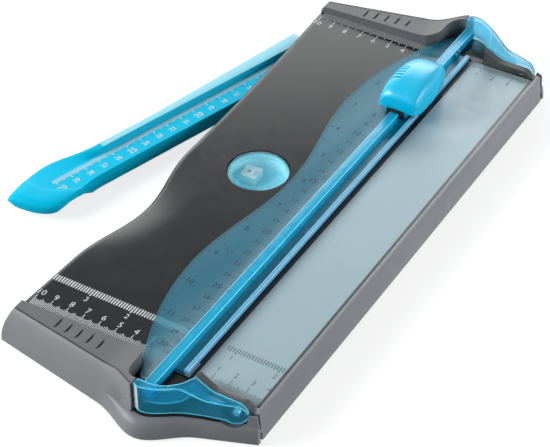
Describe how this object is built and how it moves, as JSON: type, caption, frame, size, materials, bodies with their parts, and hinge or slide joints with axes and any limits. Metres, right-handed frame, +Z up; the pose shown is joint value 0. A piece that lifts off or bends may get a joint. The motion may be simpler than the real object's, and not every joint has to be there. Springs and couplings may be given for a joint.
{
  "type": "paper trimmer",
  "caption": "Desk paper trimmer: a rotary blade head slides along the rail of a clear hinged clamp arm over a flat table with fences, a lidded storage well and a swing-out ruler arm.",
  "frame": {"origin": "on the desk plane under the middle foot, below the cutting line at mid length", "axes": "+Y along the cut towards the rear, +X across the cut towards the off-cut side, +Z up"},
  "size_m": [0.2143, 0.383, 0.0395],
  "materials": {
    "dark_plastic": "satin, fine moulded texture",
    "pale_panel": "frosted",
    "clear_blue": "clear, polished",
    "cyan_plastic": "polished",
    "black_plastic": "matt",
    "white_plastic": "satin",
    "steel": "ground",
    "rubber": "matt"
  },
  "bodies": {
    "base": {"base_tray": "dark_plastic", "front_end_cap": "dark_plastic", "rear_end_cap": "dark_plastic", "deck": "dark_plastic", "front_fence": "dark_plastic", "rear_fence": "dark_plastic", "offcut_panel": "pale_panel", "cutting_strip": "black_plastic", "rubber_feet": "rubber", "tray_screws": "steel", "front_hinge_pin": "steel", "rear_hinge_pin": "steel", "storage_cup": "white_plastic", "spare_cartridge": "white_plastic", "ruler_washer": "steel", "ruler_pivot_screw": "steel"},
    "clamp_arm": {"clamp_plate": "clear_blue", "guide_rail": "clear_blue", "front_hinge_bracket": "clear_blue", "rear_hinge_bracket": "clear_blue"},
    "carriage": {"head_carriage": "black_plastic", "press_spring": "steel"},
    "press_head": {"head_cover": "cyan_plastic", "blade_cartridge": "white_plastic", "blade_axle": "steel"},
    "blade": {"rotary_blade": "steel"},
    "ruler": {"extension_ruler": "cyan_plastic"},
    "lid": {"storage_lid": "clear_blue"}
  },
  "joints": [
    {"name": "clamp_hinge", "type": "hinge", "parent": "base", "child": "clamp_arm", "pos_m": [0.033, 0, 0.0165], "axis": [0, 1, 0], "range_deg": [0, 70]},
    {"name": "head_slide", "type": "slide", "parent": "clamp_arm", "child": "carriage", "axis": [0, 1, 0], "range_m": [-0.234, 0.028]},
    {"name": "head_press", "type": "slide", "parent": "carriage", "child": "press_head", "axis": [0, 0, -1], "range_m": [0, 0.0014], "stiffness_N_per_m": 1500, "springref_m": -0.0008, "deforming": ["press_spring"]},
    {"name": "blade_spin", "type": "hinge", "parent": "press_head", "child": "blade", "pos_m": [0, 0.103, 0.0252], "axis": [1, 0, 0], "range_deg": [-2100, 2100]},
    {"name": "ruler_swing", "type": "hinge", "parent": "base", "child": "ruler", "pos_m": [-0.086, 0.1448, 0.01], "axis": [0, 0, 1], "range_deg": [-63.1, 16.9]},
    {"name": "lid_lift", "type": "slide", "parent": "base", "child": "lid", "axis": [0, 0, 1], "range_m": [0, 0.03]}
  ],
  "couplings": [
    {"joint": "blade_spin", "follows": "head_slide", "rad_per_m": -142.86}
  ]
}
